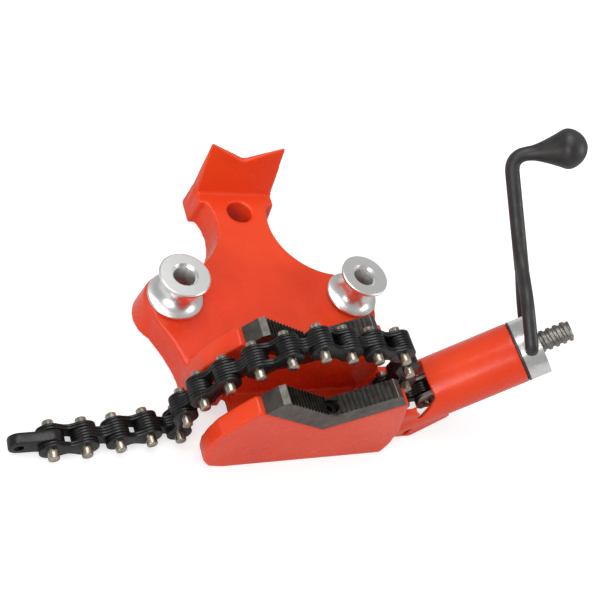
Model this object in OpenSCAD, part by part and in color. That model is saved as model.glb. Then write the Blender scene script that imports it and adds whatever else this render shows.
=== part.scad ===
// Top-screw bench chain vise for pipe.
// Origin on the bench plane, midway between the two spool bolts. +X toward the crank,
// -Y toward the jaws, +Z up. All lengths are in millimetres.

/* [Base casting] */
// Height of the base plate above the bench
plate_h = 29; // [24:0.5:32]
// Distance of each spool bolt from the middle
spool_x = 86; // [82:0.5:90]
// Radius of each wing at the bench
wing_r_floor = 30; // [28:0.5:33]
// Radius of each wing at the plate top
wing_r_top = 26; // [25:0.5:28]
// Radius of the concave sides of the neck at the plate top
neck_cut_r = 59.5; // [56:0.5:61]
// How far the skirt of the neck flares outward at the bench
skirt_flare = 3; // [1:0.5:4]
// Distance of the middle of the concave sides behind the spools
neck_cut_y = 85; // [82:0.5:88]
// Radius of the bolt hole in the neck
neck_hole_r = 12; // [9:0.5:13]
// Distance of the neck hole behind the spools
neck_hole_y = 97.8; // [92:0.2:101]
// Thickness of the casting's walls under the plate
shell_t = 8; // [6:0.5:10]

/* [Pipe rest] */
// Height of the two tips of the rest
rest_h = 82; // [72:1:92]
// Height of the bottom of its notch
rest_notch_h = 65.5; // [55:0.5:70]
// Distance of its back face behind the spools
rest_back_y = 133; // [130:0.5:138]
// Half width across the tips
rest_half_w = 37; // [33:0.5:38]

/* [Jaws] */
// Slope of each side of the V
jaw_slope = 27.5; // [24:0.5:30]
// Height of the bottom of the V under the inserts
jaw_seat_h = 53; // [49:0.5:56]
// Half length of an insert along the bench
jaw_half_w = 62; // [57:0.5:64]
// Thickness of an insert measured square to its slope
jaw_t = 20; // [17:0.5:22]
// Depth of the teeth
tooth_d = 2; // [1:0.2:2.6]
// Number of teeth on each side of the V
teeth = 13; // [9:1:15]
// Outer face of the front wall and front insert
front_face_y = -145.6; // [-149:0.2:-144]
// Inner face of the front wall
front_wall_y = -129.2; // [-131:0.2:-128]
// Inner face of the rear wall
rear_wall_y = -85.1; // [-87:0.1:-84]
// Outer face of the rear wall and rear insert
rear_face_y = -68; // [-70:0.5:-66]
// Radius of the head of each insert screw
insert_head_r = 6; // [5:0.5:7]

/* [Spools] */
// Height of a spool
spool_h = 31.5; // [28:0.5:36]
// Radius of the lower flange
spool_low_r = 24.3; // [22:0.1:25]
// Radius of the upper flange
spool_top_r = 22; // [20:0.5:24]
// Radius of the waist
spool_waist_r = 13; // [12:0.5:15]
// Radius of the bolt bore
spool_bore_r = 9.4; // [8:0.2:10]

/* [Screw and nut] */
// Angle of the screw above the bench
screw_angle = 42.7; // [41:0.1:45]
// Middle of the nut along the bench
nut_x = 193.2; // [190:0.1:196]
// Middle of the nut above the bench
nut_z = 103.8; // [100:0.1:106]
// Outer radius of the screw thread
thread_r = 9.3; // [8.5:0.1:10]
// Pitch of the thread
thread_pitch = 6.35; // [5:0.05:8]
// Depth of the thread
thread_d = 1.5; // [1:0.1:2]
// Length of screw beyond the middle of the nut
screw_out = 38; // [30:1:44]
// Outer radius of the nut
nut_r = 26.8; // [25:0.1:27.2]
// Length of the nut
nut_len = 18; // [16:0.5:20]
// Thickness of the thrust washer
washer_t = 2; // [1.5:0.1:3]

/* [Crank] */
// Turn of the crank about the screw
crank_spin = 29.4; // [0:0.1:60]
// Tilt of the crank away from square to the screw
crank_tilt = 17.8; // [10:0.1:30]
// Distance from the pivot to the grip
crank_len = 165.8; // [150:0.2:180]
// Radius of the crank bar
bar_r = 6.3; // [5.6:0.1:7]
// Radius of each prong of the fork
prong_r = 5.6; // [5:0.1:5.7]
// Distance of each prong from the screw
prong_off = 33.5; // [33.4:0.1:35]
// Distance from the pivot to where the prongs meet
fork_len = 74; // [70:1:84]
// Length of the grip from the bar
grip_len = 64.7; // [58:0.1:72]
// Radius of the ball end of the grip
ball_r = 17.5; // [15:0.5:19]

/* [Chain] */
// Distance between neighbouring pins
pitch = 25.4; // [25:0.1:25.6]
// Radius of the chain pins
pin_r = 4.35; // [4:0.05:4.5]
// Length of the chain pins
pin_len = 32.7; // [31:0.1:34]
// Half height of a link plate
plate_r = 10.2; // [9.6:0.1:10.4]
// Half height of a link plate at its waist
waist_r = 7.6; // [6.5:0.1:8.5]
// Thickness of an inner plate
inner_t = 2.7; // [2.4:0.1:2.8]
// Thickness of an outer plate
outer_t = 2.5; // [2.2:0.1:2.7]
// Play between the inner and outer plates
side_play = 0.8; // [0.7:0.05:1]
// Play between a pin and the inner plates
bore_play = 0.5; // [0.45:0.01:0.6]
// Middle of the chain slot
chain_y = -107.2; // [-108:0.1:-106.4]

/* [Hidden] */
$fn = 64;
eps = 0.01;
fit = 0.05;         // running clearance
seat_fit = 0.02;    // clearance of a seated piece
gap = 0.3;          // space between neighbouring plates
pad_h = 1.8;        // machined pad under each spool
spigot_h = 7;
spigot_r = 14;
inner_n = 4;
s_washer = -nut_len / 2 - washer_t;    // end of the arm along the screw
s_eye = -99.6;                         // chain pin of the clevis along the screw
arm_r = 27;
channel_w = 36;
knuckle = 0.7;      // how much thicker each prong is beside the nut
crotch_r = 8.5;     // where the prongs meet
prong_len = 40;     // straight part of each prong
elbow_r = 14;
channel_top = 15;
mouth_wider = 0.6;
boss_len = 31;
clevis_gap = inner_n * inner_t + (inner_n - 1) * gap + 2 * side_play;
clevis_w = 24;
clevis_r = 10.5;
pack_w = inner_n * inner_t + (inner_n - 1) * gap;
outer_y = pack_w / 2 + side_play;

// Direction of each link from the screw to the free end, and its sideways lean.
link_angle = [205.5, 137, 87, 111.5, 125, 176, 173, 171.5, 200.3, 211.3, 223.8, 237.3, 254.3,
    275, 180.2, 180, 180, 180];
link_lean = [0, 0, 0, 0, 0, 0, 0, 0.3, 0.4, 0.5, 0.7, 0.8, 0.8, 0.5, 3, 6.5, 5, 1.5];
tongue_angle = 178;
links = len(link_angle);

function link_dir(i) = [cos(link_lean[i]) * cos(link_angle[i]), -sin(link_lean[i]),
    cos(link_lean[i]) * sin(link_angle[i])];
function along(s) = [nut_x + s * cos(screw_angle), chain_y, nut_z + s * sin(screw_angle)];
function pin_at(i) = i == 0 ? along(s_eye) : pin_at(i - 1) + pitch * link_dir(i - 1);

// Puts children on the screw axis, z along the screw, x across the chain slot.
module on_screw(s) {
    translate(along(s)) rotate([0, 90 - screw_angle, 0]) rotate([0, 0, -90]) children();
}

// Extrudes a side view (x, z) from y0 back to y1.
module side_view(y0, y1) {
    translate([0, y1, 0]) rotate([90, 0, 0]) linear_extrude(y1 - y0) children();
}

// --- base casting ------------------------------------------------------------

module neck_cuts(extra) {
    for (s = [-1, 1]) translate([s * spool_x, neck_cut_y, -eps])
        cylinder(h = plate_h + 60, r1 = neck_cut_r - skirt_flare + extra,
            r2 = neck_cut_r - skirt_flare + extra + skirt_flare * (plate_h + 60) / plate_h,
            $fn = 96);
}

module plan(inset) {
    side = [[spool_x + 24, -6], [spool_x + 20, -22], [97.5, -41], [93, -55], [90, -70],
        [88, rear_wall_y]];
    polygon(concat([for (p = side) [p[0] - inset, p[1]]],
        [for (i = [len(side) - 1:-1:0]) [-side[i][0] + inset, side[i][1]]],
        [[-spool_x, 0], [spool_x, 0]]));
}

module plate_body() {
    difference() {
        union() {
            translate([-40.5, 0, 0]) cube([81, rest_back_y - 8, plate_h]);
            translate([-spool_x, 0, 0]) cube([2 * spool_x, neck_cut_y, plate_h]);
            linear_extrude(plate_h) plan(0);
        }
        intersection() {
            neck_cuts(0);
            translate([-200, 0, -1]) cube([400, 200, plate_h + 2]);
        }
    }
    for (s = [-1, 1]) translate([s * spool_x, 0, 0]) {
        cylinder(h = plate_h, r1 = wing_r_floor, r2 = wing_r_top);
        cylinder(h = plate_h + pad_h, r = spool_low_r - 2.5);
    }
}

module plate_hollow() {
    z1 = plate_h - shell_t;
    difference() {
        union() {
            translate([-40.5 + shell_t, 0, -1]) cube([81 - 2 * shell_t, rest_back_y - 20, z1 + 1]);
            translate([-spool_x, 0, -1]) cube([2 * spool_x, neck_cut_y, z1 + 1]);
            translate([0, 0, -1]) linear_extrude(z1 + 1) difference() {
                plan(shell_t);
                translate([-150, rear_wall_y - 1]) square([300, rear_face_y - rear_wall_y + 5]);
            }
        }
        intersection() {
            neck_cuts(shell_t);
            translate([-200, 0, -2]) cube([400, 200, plate_h + 2]);
        }
        for (s = [-1, 1]) translate([s * spool_x, 0, -2]) cylinder(h = plate_h, r = 20);
        translate([0, neck_hole_y, -2]) cylinder(h = plate_h, r = neck_hole_r + 6);
    }
}

module pipe_rest() {
    intersection() {
        translate([-60, 0, 0]) rotate([90, 0, 90]) linear_extrude(120)
            polygon([[rest_back_y - 26, 0], [rest_back_y, 0], [rest_back_y, rest_h],
                [rest_back_y - 2.5, rest_h], [rest_back_y - 13.5, plate_h],
                [rest_back_y - 26, plate_h]]);
        side_view(60, 160) polygon([[-41.5, 0], [41.5, 0], [38, plate_h],
            [rest_half_w, rest_h], [rest_half_w - 2, rest_h], [0, rest_notch_h],
            [2 - rest_half_w, rest_h], [-rest_half_w, rest_h], [-38, plate_h]]);
    }
}

seat_top = jaw_seat_h + jaw_half_w * tan(jaw_slope);

module wall_outline() {
    polygon([[-70, 0], [-82, 3.5], [-89, 13], [-91.5, 26], [-90.5, 40], [-87, 55], [-79, 69],
        [-jaw_half_w - 5, seat_top + 1.5], [-jaw_half_w, seat_top], [0, jaw_seat_h],
        [jaw_half_w, seat_top], [jaw_half_w + 3, seat_top], [72, 64], [80, 38], [82, 15],
        [80, 0]]);
}

module walls() {
    side_view(front_face_y, front_wall_y) wall_outline();
    side_view(rear_wall_y, rear_face_y) union() {
        wall_outline();
        translate([-90.5, 0]) square([20, 30]);
    }
    // fillet between the plate and the rear wall
    difference() {
        translate([-86, rear_face_y - 1, plate_h - 1]) cube([160, 13, 13]);
        translate([-90, rear_face_y + 12, plate_h + 12]) rotate([0, 90, 0])
            cylinder(h = 180, r = 12);
    }
    // web that ties the two walls under the slot
    translate([-52, front_wall_y - 1, 0]) cube([120, rear_wall_y - front_wall_y + 2, 12]);
    // lugs that catch the chain pins
    for (y = [front_wall_y - 1, rear_wall_y - 6.9])
        translate([0, y, 0]) side_view(0, 7.9)
            polygon([[-84, 6], [-60, 2], [-60, 50], [-66, 53], [-83, 34]]);
}

module arm_outside() {
    intersection() {
        union() {
            on_screw(-142) cylinder(h = 142 + s_washer, r = arm_r, $fn = 96);
            side_view(chain_y - arm_r + 1.6, chain_y + arm_r - 1.6)
                polygon([[66, 0], [116, 0], [140, 33], [110, 42], [80, 40]]);
        }
        translate([0, -200, 0]) cube([300, 200, 200]);
    }
}

module arm_hollow() {
    // channel open to the bench
    on_screw(-170) translate([-channel_w / 2, -channel_top, 0])
        cube([channel_w, channel_top + 90, 170 + s_washer - boss_len]);
    // mouth where the chain comes in
    side_view(chain_y - channel_w / 2 - mouth_wider, chain_y + channel_w / 2 + mouth_wider)
        polygon([[66, 13], [66, 150], [104, 150], [104, 66], [122, 48], [122, 13]]);
    on_screw(s_washer - boss_len - 1) cylinder(h = boss_len + 2, r = thread_r + 0.4);
}

module base_casting() color([0.86, 0.22, 0.08]) difference() {
    union() {
        plate_body();
        pipe_rest();
        walls();
        arm_outside();
    }
    plate_hollow();
    arm_hollow();
    translate([0, neck_hole_y, -1]) cylinder(h = plate_h + 2, r = neck_hole_r);
    for (s = [-1, 1]) translate([s * spool_x, 0, 0]) {
        translate([0, 0, -1]) cylinder(h = plate_h + 5, r = spool_bore_r);
        translate([0, 0, plate_h + pad_h - spigot_h]) cylinder(h = spigot_h + 1,
            r = spigot_r + seat_fit);
    }
    // hole in the front side of the arm
    translate([108, chain_y - 19.5, 2]) cylinder(h = 60, r = 5.5);
    // holes for the insert screws
    for (y = [(front_face_y + front_wall_y) / 2, (rear_face_y + rear_wall_y) / 2])
        translate([0, y, jaw_seat_h - 20]) cylinder(h = 30, r = 3.55);
}

// --- jaw inserts ---------------------------------------------------------------

function tooth_line(x) = jaw_seat_h + jaw_t / cos(jaw_slope) + abs(x) * tan(jaw_slope);

module jaw_outline() {
    x1 = jaw_half_w - jaw_t * sin(jaw_slope) - 1.5;      // outer end of the toothed side
    x0 = 2.5;                        // flat at the bottom of the V
    step = (x1 - 4 - x0) / teeth;
    drop = tooth_d / cos(jaw_slope);
    half = [for (k = [0:teeth - 1], j = [0, 1])
        let (x = x0 + (k + 0.82 * j) * step) [x, tooth_line(x) - (j == 0 ? drop : 0)]];
    right = concat([[0, tooth_line(x0) - drop]], half,
        [[x1 - 4, tooth_line(x1 - 4)], [x1 + 1.2, tooth_line(x1) - 4.4],
        [jaw_half_w, jaw_seat_h + jaw_half_w * tan(jaw_slope) + gap / 6]]);
    left = [for (i = [len(right) - 1:-1:1]) [-right[i][0], right[i][1]]];
    polygon(concat(right, [[0, jaw_seat_h + gap / 6]], left));
}

module jaw_insert(y0, y1) {
    color([0.45, 0.44, 0.42]) difference() {
        side_view(y0, y1) jaw_outline();
        translate([0, (y0 + y1) / 2, jaw_seat_h - 5]) cylinder(h = 60, r = 3.6);
        translate([0, (y0 + y1) / 2, jaw_seat_h + 12]) cylinder(h = 60, r = insert_head_r + 0.4);
    }
}

module rear_jaw_insert() jaw_insert(rear_wall_y, rear_face_y);

module front_jaw_insert() jaw_insert(front_face_y, front_wall_y);

module insert_screws() color([0.12, 0.12, 0.12])
    for (y = [(front_face_y + front_wall_y) / 2, (rear_face_y + rear_wall_y) / 2])
        translate([0, y, jaw_seat_h]) difference() {
            union() {
                translate([0, 0, -18]) cylinder(h = 31, r = 3.5);
                translate([0, 0, 12.02]) cylinder(h = 6.5, r = insert_head_r);
            }
            translate([0, 0, 14.5]) cylinder(h = 10, r = 2.9, $fn = 6);
        }

// --- spools --------------------------------------------------------------------

module spool(s) color([0.82, 0.82, 0.8])
    translate([s * spool_x, 0, plate_h + pad_h + seat_fit]) rotate_extrude($fn = 96)
        difference() {
            polygon([[spool_bore_r, 0.3 - spigot_h], [spigot_r, 0.3 - spigot_h], [spigot_r, 0],
                [spool_low_r, 0], [spool_low_r, spool_h / 2], [spool_top_r, spool_h / 2],
                [spool_top_r, spool_h], [spool_bore_r + 2, spool_h],
                [spool_bore_r, spool_h - 2]]);
            translate([spool_waist_r + 14.4, spool_h / 2]) circle(r = 14.4, $fn = 96);
        }

module left_spool() spool(-1);

module right_spool() spool(1);

// --- screw, nut and crank ------------------------------------------------------

module thrust_washer() color([0.15, 0.15, 0.15]) on_screw(s_washer + seat_fit)
    difference() {
        cylinder(h = washer_t - 2 * seat_fit, r = nut_r + 0.2, $fn = 96);
        translate([0, 0, -1]) cylinder(h = washer_t + 2, r = thread_r + 0.6);
    }

module screw() color([0.3, 0.29, 0.27]) on_screw(s_eye + 21) {
    len = screw_out - s_eye - 21;
    rings = floor((len - 6) / thread_pitch);
    rotate_extrude($fn = 64) polygon(concat([[0, 0], [thread_r - thread_d, 0]],
        [for (k = [0:rings - 1], j = [0:3])
            let (z = len - (rings - k) * thread_pitch + 0.6)
            [[thread_r - thread_d, z + 2], [thread_r, z + 2.9], [thread_r, z + 4.6],
            [thread_r - thread_d, z + 5.5]][j]],
        [[thread_r - thread_d, len], [0, len]]));
}

module screw_clevis() color([0.3, 0.29, 0.27]) on_screw(s_eye) difference() {
    intersection() {
        union() {
            rotate([0, 90, 0]) cylinder(h = clevis_w, r = clevis_r, center = true);
            translate([-clevis_w / 2, -clevis_r, 0]) cube([clevis_w, 2 * clevis_r, 32]);
        }
        cylinder(h = 80, r = 14, center = true);
    }
    translate([-clevis_gap / 2, -30, -30]) cube([clevis_gap, 60, 30 + 11.5]);
    rotate([0, 90, 0]) cylinder(h = 60, r = pin_r + seat_fit, center = true);
    translate([0, 0, 21 - 0.02]) cylinder(h = 20, r = thread_r - thread_d + seat_fit);
    translate([0, 0, 23.5]) cylinder(h = 20, r = thread_r + 0.3);
}

module clevis_pin() color([0.25, 0.24, 0.22]) on_screw(s_eye) rotate([0, 90, 0])
    cylinder(h = clevis_w + 4, r = pin_r, center = true);

// Puts children in the frame of the crank: x along the bar, y along the pivot pins
// and z along the grip.
module on_crank() {
    on_screw(0) rotate([0, 0, 180 + crank_spin]) rotate([0, -crank_tilt, 0]) children();
}

module crank_nut() color([0.8, 0.8, 0.78]) difference() {
    on_screw(-nut_len / 2) cylinder(h = nut_len, r = nut_r, $fn = 96);
    on_screw(-nut_len) cylinder(h = 2 * nut_len, r = thread_r + fit);
    for (s = [-1, 1]) on_crank() rotate([-90 * s, 0, 0])
        translate([0, 0, 14.5]) cylinder(h = 30, r = prong_r + fit);
}

module crank_fork() color([0.07, 0.07, 0.07]) on_crank() {
    thick_r = prong_r + knuckle;
    for (s = [-1, 1]) {
        rotate([-90 * s, 0, 0]) translate([0, 0, 15])
            cylinder(h = prong_off - 11, r = prong_r);
        translate([-thick_r, s * prong_off, 0]) rotate([0, 90, 0])
            cylinder(h = thick_r + prong_len + 3, r = thick_r);
        translate([prong_len, s * prong_off, 0])
            rotate([0, 0, -s * atan(prong_off / (fork_len - prong_len))])
            translate([-2, 0, 0]) rotate([0, 90, 0])
            cylinder(h = norm([prong_off, fork_len - prong_len]) + 2, r = prong_r);
    }
    translate([fork_len - 10, 0, 0]) rotate([0, 90, 0]) cylinder(h = 18, r = crotch_r);
    translate([fork_len, 0, 0]) rotate([0, 90, 0])
        cylinder(h = crank_len - fork_len - elbow_r, r = bar_r);
    translate([crank_len - elbow_r, 0, elbow_r]) rotate([90, 0, 0]) rotate([0, 0, -90])
        rotate_extrude(angle = 90, $fn = 64) translate([elbow_r, 0]) circle(r = bar_r, $fn = 48);
}

module crank_grip() color([0.05, 0.05, 0.05]) on_crank()
    translate([crank_len, 0, 0]) rotate_extrude($fn = 64) difference() {
        z1 = grip_len - ball_r;
        union() {
            translate([0, z1]) circle(r = ball_r, $fn = 96);
            polygon([[0, elbow_r + seat_fit], [bar_r, elbow_r + seat_fit], [bar_r + 0.6, 19], [bar_r + 3, 27],
                [ball_r * 0.78, z1 - ball_r * 0.66], [ball_r * 0.97, z1 - ball_r * 0.26],
                [0, z1]]);
        }
        translate([-50, 0]) square([50, 100]);
    }

// --- chain ---------------------------------------------------------------------

// Puts children on link i: x runs to the next pin, y along the pins.
module on_link(i) {
    translate(pin_at(i)) rotate([0, -link_angle[i], 0]) rotate([0, 0, -link_lean[i]])
        children();
}

module link_plate(y, t, r) {
    translate([0, y + t, 0]) rotate([90, 0, 0]) linear_extrude(t) difference() {
        union() {
            circle(r = plate_r);
            translate([pitch, 0]) circle(r = plate_r);
            translate([0, -waist_r]) square([pitch, 2 * waist_r]);
        }
        circle(r = r);
        translate([pitch, 0]) circle(r = r);
    }
}

module inner_link(i) color([0.08, 0.08, 0.08]) on_link(i)
    for (k = [0:inner_n - 1])
        link_plate(-pack_w / 2 + k * (inner_t + gap), inner_t, pin_r + bore_play);

module outer_plates(i) color([0.08, 0.08, 0.08]) on_link(i)
    for (s = [-1, 1], k = [0, 1])
        link_plate(s > 0 ? outer_y + k * (outer_t + gap) : -outer_y - outer_t
            - k * (outer_t + gap), outer_t, pin_r + seat_fit);

module link_pins(i) color([0.55, 0.53, 0.5]) on_link(i)
    for (x = [0, pitch]) translate([x, pin_len / 2, 0]) rotate([90, 0, 0])
        cylinder(h = pin_len, r = pin_r);

module link_01() inner_link(0);
module link_03() inner_link(2);
module link_05() inner_link(4);
module link_07() inner_link(6);
module link_09() inner_link(8);
module link_11() inner_link(10);
module link_13() inner_link(12);
module link_15() inner_link(14);
module link_17() inner_link(16);
module link_02_plates() outer_plates(1);
module link_04_plates() outer_plates(3);
module link_06_plates() outer_plates(5);
module link_08_plates() outer_plates(7);
module link_10_plates() outer_plates(9);
module link_12_plates() outer_plates(11);
module link_14_plates() outer_plates(13);
module link_16_plates() outer_plates(15);
module link_18_plates() outer_plates(17);
module link_02_pins() link_pins(1);
module link_04_pins() link_pins(3);
module link_06_pins() link_pins(5);
module link_08_pins() link_pins(7);
module link_10_pins() link_pins(9);
module link_12_pins() link_pins(11);
module link_14_pins() link_pins(13);
module link_16_pins() link_pins(15);
module link_18_pins() link_pins(17);

module chain_tongue() color([0.08, 0.08, 0.08])
    translate(pin_at(links)) rotate([0, -tongue_angle, 0]) rotate([0, 0, -1])
        translate([0, pack_w / 2, 0])
        rotate([90, 0, 0]) linear_extrude(pack_w) difference() {
            union() {
                circle(r = plate_r);
                translate([24, 0]) circle(r = 8);
                polygon([[0, -plate_r], [12, -8], [24, -8], [24, 8], [12, 8], [0, plate_r]]);
            }
            circle(r = pin_r + bore_play);
            translate([24, 0]) circle(r = 3.6);
        }

base_casting();
rear_jaw_insert();
front_jaw_insert();
insert_screws();
left_spool();
right_spool();
thrust_washer();
crank_nut();
crank_fork();
crank_grip();
screw();
screw_clevis();
clevis_pin();
link_01();
link_02_plates();
link_02_pins();
link_03();
link_04_plates();
link_04_pins();
link_05();
link_06_plates();
link_06_pins();
link_07();
link_08_plates();
link_08_pins();
link_09();
link_10_plates();
link_10_pins();
link_11();
link_12_plates();
link_12_pins();
link_13();
link_14_plates();
link_14_pins();
link_15();
link_16_plates();
link_16_pins();
link_17();
link_18_plates();
link_18_pins();
chain_tongue();
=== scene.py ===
import math

import bmesh
import bpy
from mathutils import Matrix, Vector


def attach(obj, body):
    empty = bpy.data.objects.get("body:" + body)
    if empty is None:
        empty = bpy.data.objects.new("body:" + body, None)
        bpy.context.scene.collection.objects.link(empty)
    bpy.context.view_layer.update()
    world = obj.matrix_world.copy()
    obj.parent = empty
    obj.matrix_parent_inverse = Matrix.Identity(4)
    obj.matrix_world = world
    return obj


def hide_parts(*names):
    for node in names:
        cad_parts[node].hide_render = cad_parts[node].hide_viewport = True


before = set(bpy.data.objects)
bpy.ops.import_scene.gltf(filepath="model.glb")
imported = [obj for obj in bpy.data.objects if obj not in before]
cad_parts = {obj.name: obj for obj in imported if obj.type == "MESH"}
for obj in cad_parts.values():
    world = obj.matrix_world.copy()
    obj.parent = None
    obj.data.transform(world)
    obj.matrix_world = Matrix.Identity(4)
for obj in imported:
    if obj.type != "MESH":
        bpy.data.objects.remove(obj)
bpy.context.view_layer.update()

MM = 0.001

# Driving sizes of the vise in millimetres, as in the CAD source but for the chain's leaves,
# which are thinner here, as the photograph shows them.
SCREW_ANGLE, NUT = 42.7, Vector((193.2, -107.2, 103.8))
THREAD_R, THREAD_DEPTH, THREAD_PITCH, SCREW_OUT = 9.3, 1.5, 6.35, 38.0
NUT_R, NUT_LEN, WASHER_T = 26.8, 18.0, 2.0
CRANK_SPIN, CRANK_TILT, CRANK_LEN = 29.4, 17.8, 165.8
BAR_R, PRONG_R, PRONG_OFF, FORK_LEN = 6.3, 5.6, 33.5, 74.0
GRIP_LEN, BALL_R = 64.7, 17.5
PITCH, PIN_R, PIN_LEN, PLATE_R, WAIST_R = 25.4, 4.35, 32.7, 10.2, 7.2
INNER_T, OUTER_T, SIDE_PLAY, LEAF_GAP = 2.1, 2.0, 0.5, 0.3
PACK_W = 4 * INNER_T + 3 * LEAF_GAP
EYE_AT = -99.6
LINK_ANGLE = [205.5, 137, 87, 111.5, 125, 176, 173, 171.5, 200.3, 211.3, 223.8, 237.3,
              254.3, 275, 180.2, 180, 180, 180]
LINK_LEAN = [0, 0, 0, 0, 0, 0, 0, 0.3, 0.4, 0.5, 0.7, 0.8, 0.8, 0.5, 3, 6.5, 5, 1.5]
TONGUE_ANGLE = 178
SPOOL_X, SPOOL_Z, SPOOL_H = 86.0, 30.82, 31.5


# --- places ---------------------------------------------------------------------

def turn(axis, degrees):
    return Matrix.Rotation(math.radians(degrees), 4, axis)


def on_screw(s):
    """Frame whose z runs up the screw, s millimetres beyond the middle of the nut."""
    a = math.radians(SCREW_ANGLE)
    place = NUT + s * Vector((math.cos(a), 0, math.sin(a)))
    return Matrix.Translation(place) @ turn("Y", 90 - SCREW_ANGLE) @ turn("Z", -90)


def on_crank():
    """Frame of the crank: x along the bar, y along the pivots, z along the grip."""
    return on_screw(0) @ turn("Z", 180 + CRANK_SPIN) @ turn("Y", -CRANK_TILT)


def link_frames():
    """Frame of each link, x toward its next pin, and last the frame of the tongue."""
    frames, place = [], on_screw(EYE_AT).translation.copy()
    for angle, lean in zip(LINK_ANGLE, LINK_LEAN):
        m = Matrix.Translation(place) @ turn("Y", -angle) @ turn("Z", -lean)
        frames.append(m)
        place = m @ Vector((PITCH, 0, 0))
    frames.append(Matrix.Translation(place) @ turn("Y", -TONGUE_ANGLE) @ turn("Z", -1))
    return frames


# --- mesh tools -----------------------------------------------------------------

def piece(name, bm, place, body, nodes, material, flat_angle=35):
    """Makes a riding piece of the bmesh (in mm) and hides the CAD nodes it stands for."""
    bmesh.ops.recalc_face_normals(bm, faces=bm.faces)
    bm.transform(Matrix.Scale(MM, 4) @ place)
    mesh = bpy.data.meshes.new(name)
    bm.to_mesh(mesh)
    bm.free()
    obj = bpy.data.objects.new(name, mesh)
    bpy.context.scene.collection.objects.link(obj)
    finish_piece(obj, body, nodes, material, flat_angle)
    return obj


def finish_piece(obj, body, nodes, material, flat_angle=35):
    """Gives a piece its material, its body and the CAD nodes it stands for."""
    obj.data.materials.clear()
    obj.data.materials.append(material)
    shade(obj, flat_angle)
    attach(obj, body)
    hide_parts(*nodes)


def soften(obj, width, segments=3):
    """Bevels the edges of a piece by a width in mm."""
    m = obj.modifiers.new("edges", "BEVEL")
    m.width = width * MM
    m.segments = segments
    m.limit_method = "ANGLE"
    m.angle_limit = math.radians(35)
    m.harden_normals = True


def shade(obj, angle):
    """Smooth shading that keeps edges sharper than the angle crisp."""
    for p in obj.data.polygons:
        p.use_smooth = True
    bm = bmesh.new()
    bm.from_mesh(obj.data)
    for e in bm.edges:
        if len(e.link_faces) == 2 and e.calc_face_angle(0) > math.radians(angle):
            e.smooth = False
    bm.to_mesh(obj.data)
    bm.free()


def rounded(points, radius, steps=5):
    """Closed outline with each corner rounded."""
    out = []
    n = len(points)
    for i, p in enumerate(points):
        p = Vector(p)
        before, after = Vector(points[i - 1]) - p, Vector(points[(i + 1) % n]) - p
        reach = min(radius, before.length * 0.45, after.length * 0.45)
        if reach < 1e-3 or abs(before.angle(after) - math.pi) < 0.05:
            out.append(p)
            continue
        a, b = p + before.normalized() * reach, p + after.normalized() * reach
        for k in range(steps + 1):
            t = k / steps
            out.append(a * (1 - t) ** 2 + p * 2 * t * (1 - t) + b * t ** 2)
    return out


def lathe(bm, outline, place=Matrix.Identity(4), sides=96):
    """Turns a closed outline of (radius, height) round z."""
    rings = []
    for r, z in outline:
        if r < 1e-4:
            rings.append([bm.verts.new(place @ Vector((0, 0, z)))] * sides)
        else:
            rings.append([bm.verts.new(place @ Vector((r * math.cos(a), r * math.sin(a), z)))
                          for a in (2 * math.pi * k / sides for k in range(sides))])
    for i, ring in enumerate(rings):
        below = rings[i - 1]
        for k in range(sides):
            j = (k + 1) % sides
            corners = list(dict.fromkeys([below[k], below[j], ring[j], ring[k]]))
            if len(corners) > 2:
                bm.faces.new(corners)


def sweep(bm, path, radii, sides=32):
    """A round bar along path with one radius per point, closed by caps."""
    rings = []
    side = None
    for i, p in enumerate(path):
        ahead = path[min(i + 1, len(path) - 1)] - path[max(i - 1, 0)]
        ahead.normalize()
        if side is None:
            side = ahead.orthogonal().normalized()
        side = (side - side.dot(ahead) * ahead).normalized()
        up = ahead.cross(side)
        rings.append([bm.verts.new(p + radii[i] * (math.cos(a) * side + math.sin(a) * up))
                      for a in (2 * math.pi * k / sides for k in range(sides))])
    for a, b in zip(rings, rings[1:]):
        for k in range(sides):
            j = (k + 1) % sides
            bm.faces.new([a[k], a[j], b[j], b[k]])
    bm.faces.new(rings[0])
    bm.faces.new(rings[-1])


def smooth_path(points, turns, steps=9):
    """Open path through points with rounded corners."""
    points = [Vector(p) for p in points]
    out = [points[0]]
    for i in range(1, len(points) - 1):
        p = points[i]
        before, after = points[i - 1] - p, points[i + 1] - p
        reach = min(turns[i - 1], before.length * 0.49, after.length * 0.49)
        a, b = p + before.normalized() * reach, p + after.normalized() * reach
        for k in range(steps + 1):
            t = k / steps
            out.append(a * (1 - t) ** 2 + p * 2 * t * (1 - t) + b * t ** 2)
    out.append(points[-1])
    return out


def densify(path, step):
    """Adds points to a path until none are further apart than about a step."""
    out = [path[0]]
    for a, b in zip(path, path[1:]):
        n = max(1, int((b - a).length / step))
        out += [a.lerp(b, k / n) for k in range(1, n + 1)]
    return out


def figure_eight(steps=14):
    """Outline of a link plate: two round ends joined by a drawn-in waist."""
    pts = []
    turn_at = 52           # degrees at which the round end turns into the waist
    for end in (0, 1):
        for k in range(steps * 2 + 1):
            a = math.radians(turn_at + (360 - 2 * turn_at) * k / (steps * 2))
            x, y = PLATE_R * math.cos(a), PLATE_R * math.sin(a)
            pts.append((x, y) if end == 0 else (PITCH - x, -y))
        x0 = PLATE_R * math.cos(math.radians(turn_at))
        for k in range(1, 8):
            t = k / 8
            x = x0 + (PITCH - 2 * x0) * t
            y0 = PLATE_R * math.sin(math.radians(turn_at))
            dip = (y0 - WAIST_R + 1.2) * math.sin(math.pi * t) ** 1.3
            y = -(y0 - dip)
            pts.append((x, y) if end == 0 else (PITCH - x, -y))
    return pts


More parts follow.
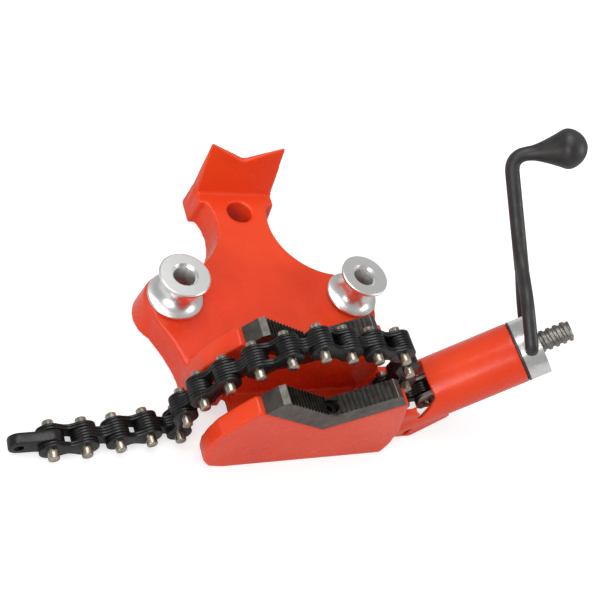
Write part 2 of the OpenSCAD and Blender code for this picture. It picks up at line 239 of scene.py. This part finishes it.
def plate(bm, outline, holes, y0, thickness, edge=0.35, sides=32):
    """A leaf of the chain with softened edges: outline in x, z and thickness along y."""
    rings = [(edge, 0.0), (edge * 0.3, edge * 0.3), (0.0, edge),
             (0.0, thickness - edge), (edge * 0.3, thickness - edge * 0.3), (edge, thickness)]
    n = len(outline)
    normals = []
    for i in range(n):
        a, b = Vector(outline[i - 1]), Vector(outline[(i + 1) % n])
        d = (b - a).normalized()
        normals.append(Vector((d.y, -d.x)))
    area = sum(outline[i - 1][0] * outline[i][1] - outline[i][0] * outline[i - 1][1]
               for i in range(n))
    sign = -1 if area > 0 else 1
    loops = []
    for inset, y in rings:
        loops.append([bm.verts.new((outline[i][0] + sign * normals[i].x * inset, y0 + y,
                                    outline[i][1] + sign * normals[i].y * inset))
                      for i in range(n)])
    for a, b in zip(loops, loops[1:]):
        for k in range(n):
            j = (k + 1) % n
            bm.faces.new([a[k], a[j], b[j], b[k]])
    for outer in (loops[0], loops[-1]):
        y = outer[0].co.y
        edges = [bm.edges.get((outer[k], outer[(k + 1) % n])) for k in range(n)]
        for hx, hr in holes:
            ring = [bm.verts.new((hx + hr * math.cos(a), y, hr * math.sin(a)))
                    for a in (2 * math.pi * k / sides for k in range(sides))]
            edges += [bm.edges.new((ring[k], ring[(k + 1) % sides])) for k in range(sides)]
        bmesh.ops.triangle_fill(bm, use_beauty=True, use_dissolve=False, edges=edges)


# --- materials --------------------------------------------------------------------

def make_material(name):
    """A material with one Principled shader, its nodes and its links."""
    mat = bpy.data.materials.new(name)
    mat.use_nodes = True
    nodes, links = mat.node_tree.nodes, mat.node_tree.links
    nodes.clear()
    out = nodes.new("ShaderNodeOutputMaterial")
    bsdf = nodes.new("ShaderNodeBsdfPrincipled")
    links.new(bsdf.outputs[0], out.inputs[0])
    return mat, nodes, links, bsdf


def noise(nodes, links, scale, detail=3.0, rough=0.5, stretch=None):
    coord = nodes.new("ShaderNodeTexCoord")
    tex = nodes.new("ShaderNodeTexNoise")
    tex.inputs["Scale"].default_value = scale
    tex.inputs["Detail"].default_value = detail
    tex.inputs["Roughness"].default_value = rough
    if stretch:
        mapping = nodes.new("ShaderNodeMapping")
        mapping.inputs["Scale"].default_value = stretch
        links.new(coord.outputs["Object"], mapping.inputs[0])
        links.new(mapping.outputs[0], tex.inputs["Vector"])
    else:
        links.new(coord.outputs["Object"], tex.inputs["Vector"])
    return tex.outputs["Fac"]


def ramp(nodes, links, value, stops):
    node = nodes.new("ShaderNodeValToRGB")
    elements = node.color_ramp.elements
    while len(elements) < len(stops):
        elements.new(0.5)
    for e, (at, colour) in zip(elements, stops):
        e.position = at
        e.color = (*colour, 1) if isinstance(colour, tuple) else (colour, colour, colour, 1)
    links.new(value, node.inputs[0])
    return node.outputs[0]


def bump(nodes, links, height, strength, distance, under=None):
    node = nodes.new("ShaderNodeBump")
    node.inputs["Strength"].default_value = strength
    node.inputs["Distance"].default_value = distance
    links.new(height, node.inputs["Height"])
    if under:
        links.new(under, node.inputs["Normal"])
    return node.outputs[0]


def enamel():
    """Glossy orange-red enamel brushed over a sand casting."""
    mat, nodes, links, bsdf = make_material("enamel")
    tint = noise(nodes, links, 14, 4)
    links.new(ramp(nodes, links, tint, [(0.3, (0.70, 0.040, 0.010)), (0.7, (0.80, 0.060, 0.012))]),
              bsdf.inputs["Base Color"])
    links.new(ramp(nodes, links, noise(nodes, links, 60, 3), [(0.3, 0.22), (0.75, 0.36)]),
              bsdf.inputs["Roughness"])
    lumps = bump(nodes, links, noise(nodes, links, 55, 2), 0.35, 0.0012)
    grain = bump(nodes, links, noise(nodes, links, 420, 3), 0.18, 0.0003, lumps)
    links.new(grain, bsdf.inputs["Normal"])
    bsdf.inputs["Coat Weight"].default_value = 0.15
    bsdf.inputs["Coat Roughness"].default_value = 0.2
    bsdf.inputs["Specular IOR Level"].default_value = 0.3
    return mat


def steel(name, dark, light, rough, grain_scale, grain, metallic=1.0, stretch=None,
          distance=0.0002):
    """A metal whose tint, roughness and fine relief come from noise."""
    mat, nodes, links, bsdf = make_material(name)
    bsdf.inputs["Metallic"].default_value = metallic
    tint = noise(nodes, links, grain_scale * 0.4, 4, 0.6, stretch)
    links.new(ramp(nodes, links, tint, [(0.3, dark), (0.7, light)]), bsdf.inputs["Base Color"])
    links.new(ramp(nodes, links, noise(nodes, links, grain_scale, 4, 0.6, stretch),
                   [(0.3, rough[0]), (0.7, rough[1])]), bsdf.inputs["Roughness"])
    links.new(bump(nodes, links, noise(nodes, links, grain_scale * 2, 3, 0.6, stretch), grain, distance),
              bsdf.inputs["Normal"])
    return mat


ENAMEL = enamel()
BRIGHT = steel("bright_steel", (0.72, 0.72, 0.70), (0.88, 0.88, 0.87), (0.16, 0.30), 300, 0.15)
TURNED = steel("turned_steel", (0.80, 0.80, 0.79), (0.90, 0.90, 0.89), (0.26, 0.36), 260, 0.10,
               stretch=(0.02, 0.02, 5.0), distance=0.0001)
JAW = steel("jaw_steel", (0.085, 0.078, 0.070), (0.17, 0.16, 0.145), (0.34, 0.5), 260, 0.3)
BLACK = steel("black_oxide", (0.012, 0.012, 0.013), (0.032, 0.031, 0.031), (0.22, 0.38), 240, 0.3,
              metallic=0.6)
PINS = steel("pin_steel", (0.22, 0.185, 0.14), (0.56, 0.51, 0.43), (0.20, 0.38), 320, 0.25)
THREAD = steel("thread_steel", (0.20, 0.19, 0.17), (0.34, 0.32, 0.30), (0.34, 0.5), 300, 0.3)
CRANK = steel("crank_black", (0.012, 0.011, 0.011), (0.030, 0.028, 0.027), (0.36, 0.52), 200, 0.3,
              metallic=0.0, distance=0.0003)
WASHER = steel("washer_steel", (0.05, 0.05, 0.05), (0.12, 0.12, 0.12), (0.35, 0.5), 300, 0.2)


# --- base casting -------------------------------------------------------------------

def casting():
    """The CAD casting remeshed finely and relaxed, which rounds its edges like cast iron."""
    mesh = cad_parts["base_casting"].data.copy()
    obj = bpy.data.objects.new("casting", mesh)
    bpy.context.scene.collection.objects.link(obj)
    grid = obj.modifiers.new("grid", "REMESH")
    grid.mode = "VOXEL"
    grid.voxel_size = 1.1 * MM
    relax = obj.modifiers.new("relax", "SMOOTH")
    relax.factor = 0.5
    relax.iterations = 14
    bake(obj)
    finish_piece(obj, "base", ["base_casting"], ENAMEL, flat_angle=180)
    return obj


def bake(obj):
    """Applies every modifier to the mesh."""
    graph = bpy.context.evaluated_depsgraph_get()
    mesh = bpy.data.meshes.new_from_object(obj.evaluated_get(graph))
    obj.modifiers.clear()
    obj.data = mesh


casting()


# --- jaw inserts --------------------------------------------------------------------

for node in ("rear_jaw_insert", "front_jaw_insert"):
    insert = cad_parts[node]
    insert.data.materials.clear()
    insert.data.materials.append(JAW)
    soften(insert, 0.35, 2)
for node, mat in (("insert_screws", BLACK), ("screw_clevis", THREAD), ("clevis_pin", PINS)):
    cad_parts[node].data.materials.clear()
    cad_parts[node].data.materials.append(mat)
    soften(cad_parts[node], 0.4)


# --- spools -------------------------------------------------------------------------

def spool(name, x, node):
    """A turned spool with a round throat between two flanges."""
    bore, low, top, waist, spigot = 9.4, 24.3, 22.0, 13.0, 14.0
    mid = SPOOL_H / 2
    throat = []
    for k in range(0, 25):
        a = math.radians(-90 + 180 * k / 24)
        throat.append((waist + 14.4 - 14.4 * math.cos(a), mid + 13.4 * math.sin(a)))
    throat = [(min(r, low - 0.3 if z < mid else top - 0.3), z) for r, z in throat]
    rim = 1.0
    outline = [(bore, -6.5), (spigot, -6.5), (spigot, 0), (low - rim, 0), (low, rim * 0.6), (low, 2.0),
               *throat, (top, SPOOL_H - 2.1), (top, SPOOL_H - rim * 0.6), (top - rim, SPOOL_H),
               (bore + 2.2, SPOOL_H), (bore + 0.2, SPOOL_H - 2.0), (bore, SPOOL_H - 2.4)]
    bm = bmesh.new()
    lathe(bm, outline, sides=128)
    place = Matrix.Translation((x, 0, SPOOL_Z))
    return piece(name, bm, place, "base", [node], TURNED, flat_angle=28)


spool("spool_left", -SPOOL_X, "left_spool")
spool("spool_right", SPOOL_X, "right_spool")


# --- screw, washer, nut ---------------------------------------------------------------

def threaded_rod(bm, z0, z1, start):
    """A rod from z0 to z1 whose trapezoid thread begins at start."""
    sides = 64
    core, crest = THREAD_R - THREAD_DEPTH, THREAD_R
    form = [(0.0, core), (0.16, core), (0.30, crest), (0.70, crest), (0.84, core)]
    steps = 20
    rows = []
    count = int((z1 - z0) / THREAD_PITCH * steps)
    for i in range(count + 1):
        row = []
        z = z0 + (z1 - z0) * i / count
        for k in range(sides):
            phase = ((z - start) / THREAD_PITCH - k / sides) % 1.0
            r = core
            for (a, ra), (b, rb) in zip(form, form[1:] + [(1.0, core)]):
                if a <= phase <= b:
                    r = ra + (rb - ra) * (phase - a) / max(b - a, 1e-6)
            if z < start:
                r = core
            r -= max(0.0, 1.6 - (z1 - z)) * 0.9       # chamfered tip
            angle = 2 * math.pi * k / sides
            row.append(bm.verts.new((r * math.cos(angle), r * math.sin(angle), z)))
        rows.append(row)
    for a, b in zip(rows, rows[1:]):
        for k in range(sides):
            j = (k + 1) % sides
            bm.faces.new([a[k], a[j], b[j], b[k]])
    bm.faces.new(rows[0])
    bm.faces.new(rows[-1])


bm = bmesh.new()
threaded_rod(bm, EYE_AT + 21, SCREW_OUT, EYE_AT + 30)
piece("thread", bm, on_screw(0), "screw", ["screw"], THREAD)

bm = bmesh.new()
half = WASHER_T / 2
lathe(bm, rounded([(THREAD_R + 0.6, -half), (NUT_R + 0.2, -half), (NUT_R + 0.2, half),
                   (THREAD_R + 0.6, half)], 0.4, 3))
piece("washer_ring", bm, on_screw(-NUT_LEN / 2 - half), "base", ["thrust_washer"], WASHER)

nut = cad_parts["crank_nut"]
nut.data.materials.clear()
nut.data.materials.append(BRIGHT)
soften(nut, 0.8)


# --- crank ----------------------------------------------------------------------------

def crank():
    """Forged fork whose bent prongs meet in one round bar that turns up into the grip."""
    bm = bmesh.new()
    for s in (-1, 1):
        points = [(0, s * 15, 0), (0, s * PRONG_OFF, 0), (40, s * PRONG_OFF, 0),
                  (FORK_LEN - 2, s * 3.2, 0), (FORK_LEN + 22, s * 0.6, 0)]
        path = densify(smooth_path(points, (5.7, 15, 17)), 1.6)   # straight until clear of the nut
        sweep(bm, path, [PRONG_R] * len(path))
    points = [(FORK_LEN - 8, 0, 0), (CRANK_LEN, 0, 0), (CRANK_LEN, 0, GRIP_LEN)]
    z1 = GRIP_LEN - BALL_R
    path = densify(smooth_path(points, (15,), 14), 1.5)
    flare = [(14, BAR_R), (20, BAR_R + 0.7), (30, BAR_R + 4.0), (40, BAR_R + 8.2),
             (z1 - 1, BALL_R - 0.25), (z1 + 4, BALL_R - 0.5), (z1 + 9, BALL_R - 2.9),
             (z1 + 13, BALL_R - 6.4), (z1 + 16, BALL_R - 11.2), (z1 + 17.45, 1.2)]
    rows, radii = [], []
    for p in path:
        if p.x > CRANK_LEN - 1e-6 and p.z > flare[0][0]:
            break
        rows.append(p)
        radii.append(BAR_R)
    for k in range(49):
        z = flare[0][0] + (flare[-1][0] - flare[0][0]) * (1 - (1 - k / 48) ** 1.6)
        rows.append(Vector((CRANK_LEN, 0, z)))
        radii.append(catmull(flare, z))
    sweep(bm, rows, radii, sides=48)
    obj = piece("crank_forging", bm, on_crank(), "crank", ["crank_fork", "crank_grip"],
                CRANK)
    grid = obj.modifiers.new("grid", "REMESH")
    grid.mode = "VOXEL"
    grid.voxel_size = 0.9 * MM
    relax = obj.modifiers.new("relax", "SMOOTH")
    relax.factor = 0.5
    relax.iterations = 6
    bake(obj)
    shade(obj, 180)
    return obj


def catmull(table, x):
    """Smooth curve through a table of (x, value)."""
    for i in range(len(table) - 1):
        if x <= table[i + 1][0] or i == len(table) - 2:
            p0, p1 = table[max(i - 1, 0)], table[i]
            p2, p3 = table[i + 1], table[min(i + 2, len(table) - 1)]
            t = (x - p1[0]) / (p2[0] - p1[0])
            m1 = (p2[1] - p0[1]) / max(p2[0] - p0[0], 1e-6) * (p2[0] - p1[0])
            m2 = (p3[1] - p1[1]) / max(p3[0] - p1[0], 1e-6) * (p2[0] - p1[0])
            return ((2 * t ** 3 - 3 * t ** 2 + 1) * p1[1] + (t ** 3 - 2 * t ** 2 + t) * m1
                    + (3 * t ** 2 - 2 * t ** 3) * p2[1] + (t ** 3 - t ** 2) * m2)


crank()


# --- chain ----------------------------------------------------------------------------

EIGHT = figure_eight()
frames = link_frames()


def inner_link(i):
    """Four leaves side by side."""
    bm = bmesh.new()
    for k in range(4):
        plate(bm, EIGHT, [(0, PIN_R + 0.3), (PITCH, PIN_R + 0.3)],
              -PACK_W / 2 + k * (INNER_T + LEAF_GAP), INNER_T)
    name = "link_%02d" % (i + 1)
    piece("leaves_%02d" % (i + 1), bm, frames[i], "chain_%02d" % (i + 1), [name],
          BLACK)


def outer_link(i):
    """Two leaves on each side and the two pins that they hold."""
    body = "chain_%02d" % (i + 1)
    bm = bmesh.new()
    for k in range(2):
        y = PACK_W / 2 + SIDE_PLAY + k * (OUTER_T + LEAF_GAP)
        for y0 in (y, -y - OUTER_T):
            plate(bm, EIGHT, [(0, PIN_R - 0.05), (PITCH, PIN_R - 0.05)], y0, OUTER_T)
    piece("side_leaves_%02d" % (i + 1), bm, frames[i], body, ["link_%02d_plates" % (i + 1)],
          BLACK)
    bm = bmesh.new()
    half = PIN_LEN / 2
    outline = [(0, -half), *[Vector(p) for p in ((PIN_R - 0.9, -half), (PIN_R - 0.25, -half + 0.35),
               (PIN_R, -half + 1.0), (PIN_R, half - 1.0), (PIN_R - 0.25, half - 0.35),
               (PIN_R - 0.9, half))], (0, half)]
    for x in (0, PITCH):
        lathe(bm, outline, Matrix.Translation((x, 0, 0)) @ turn("X", 90), sides=40)
    piece("pins_%02d" % (i + 1), bm, frames[i], body, ["link_%02d_pins" % (i + 1)],
          PINS)


for i in range(len(LINK_ANGLE)):
    (outer_link if i % 2 else inner_link)(i)

bm = bmesh.new()
tongue = [(PLATE_R * math.cos(a), PLATE_R * math.sin(a))
          for a in (math.radians(75 + 210 * k / 24) for k in range(25))]
tongue += [(12, -8.1)] + [(24 + 8 * math.cos(a), 8 * math.sin(a))
                          for a in (math.radians(-90 + 180 * k / 20) for k in range(21))] + [(12, 8.1)]
plate(bm, tongue, [(0, PIN_R + 0.3), (24, 3.6)], -PACK_W / 2, PACK_W, edge=1.0)
piece("tongue", bm, frames[-1], "chain_end", ["chain_tongue"], BLACK)


# --- floor, lights and camera ------------------------------------------------------------

def studio():
    """Pale floor that keeps the shadow and fades to white, three soft lamps and the world."""
    bpy.ops.mesh.primitive_plane_add(size=6, location=(0, 0, 0))
    floor = bpy.context.object
    floor.name = "floor"
    mat, nodes, links, bsdf = make_material("floor")
    bsdf.inputs["Base Color"].default_value = (0.62, 0.62, 0.62, 1)
    bsdf.inputs["Roughness"].default_value = 0.6
    bsdf.inputs["Specular IOR Level"].default_value = 0.2
    glow, both = nodes.new("ShaderNodeEmission"), nodes.new("ShaderNodeAddShader")
    seen, share = nodes.new("ShaderNodeLightPath"), nodes.new("ShaderNodeMath")
    share.operation = "MULTIPLY"
    coord, away = nodes.new("ShaderNodeTexCoord"), nodes.new("ShaderNodeVectorMath")
    away.operation = "LENGTH"
    fade = nodes.new("ShaderNodeMapRange")
    for socket, value in zip(fade.inputs[1:5], (0.4, 1.1, 0.55, 1.0)):   # metres, strengths
        socket.default_value = value
    links.new(coord.outputs["Object"], away.inputs[0])
    links.new(away.outputs["Value"], fade.inputs["Value"])
    links.new(fade.outputs["Result"], share.inputs[1])
    links.new(seen.outputs["Is Camera Ray"], share.inputs[0])
    links.new(share.outputs[0], glow.inputs["Strength"])
    links.new(bsdf.outputs[0], both.inputs[0])
    links.new(glow.outputs[0], both.inputs[1])
    links.new(both.outputs[0], mat.node_tree.get_output_node("ALL").inputs[0])
    floor.data.materials.append(mat)

    def panel(name, place, target, size, power):
        light = bpy.data.lights.new(name, "AREA")
        light.shape = "RECTANGLE"
        light.size, light.size_y = size
        light.energy = power
        obj = bpy.data.objects.new(name, light)
        bpy.context.scene.collection.objects.link(obj)
        obj.location = place
        obj.rotation_mode = "QUATERNION"
        obj.rotation_quaternion = (Vector(target) - Vector(place)).to_track_quat("-Z", "Y")

    panel("top", (-0.25, 0.35, 1.5), (0, 0, 0), (1.4, 1.0), 13.5)
    panel("left", (-1.0, -0.9, 0.7), (0, -0.05, 0.03), (0.9, 0.7), 11)
    panel("right", (1.2, -0.5, 0.8), (0, 0, 0.05), (0.5, 0.8), 5)

    world = bpy.data.worlds.new("studio")
    bpy.context.scene.world = world
    world.use_nodes = True
    nodes, links = world.node_tree.nodes, world.node_tree.links
    nodes.clear()
    out = nodes.new("ShaderNodeOutputWorld")
    mix = nodes.new("ShaderNodeMixShader")
    path = nodes.new("ShaderNodeLightPath")
    fill, back = nodes.new("ShaderNodeBackground"), nodes.new("ShaderNodeBackground")
    fill.inputs[0].default_value = (1, 1, 1, 1)
    fill.inputs[1].default_value = 0.42
    back.inputs[0].default_value = (1, 1, 1, 1)
    back.inputs[1].default_value = 1.0
    links.new(path.outputs["Is Camera Ray"], mix.inputs[0])
    links.new(fill.outputs[0], mix.inputs[1])
    links.new(back.outputs[0], mix.inputs[2])
    links.new(mix.outputs[0], out.inputs[0])


def camera():
    """The camera solved from the photograph."""
    data = bpy.data.cameras.new("camera")
    data.lens, data.sensor_width = 60, 36
    data.clip_start, data.clip_end = 0.05, 20
    obj = bpy.data.objects.new("camera", data)
    bpy.context.scene.collection.objects.link(obj)
    right, up = Vector((0.8882, -0.2705, 0.3715)), Vector((0.0087, 0.8181, 0.5751))
    back = right.cross(up).normalized()
    up = back.cross(right.normalized())
    m = Matrix((right.normalized(), up, back)).transposed().to_4x4()
    m.translation = Vector((-0.380, -0.4594, 0.6839))
    obj.matrix_world = m
    bpy.context.scene.camera = obj


studio()
camera()
scene = bpy.context.scene
scene.view_settings.view_transform = "Standard"
scene.render.resolution_x = scene.render.resolution_y = 600
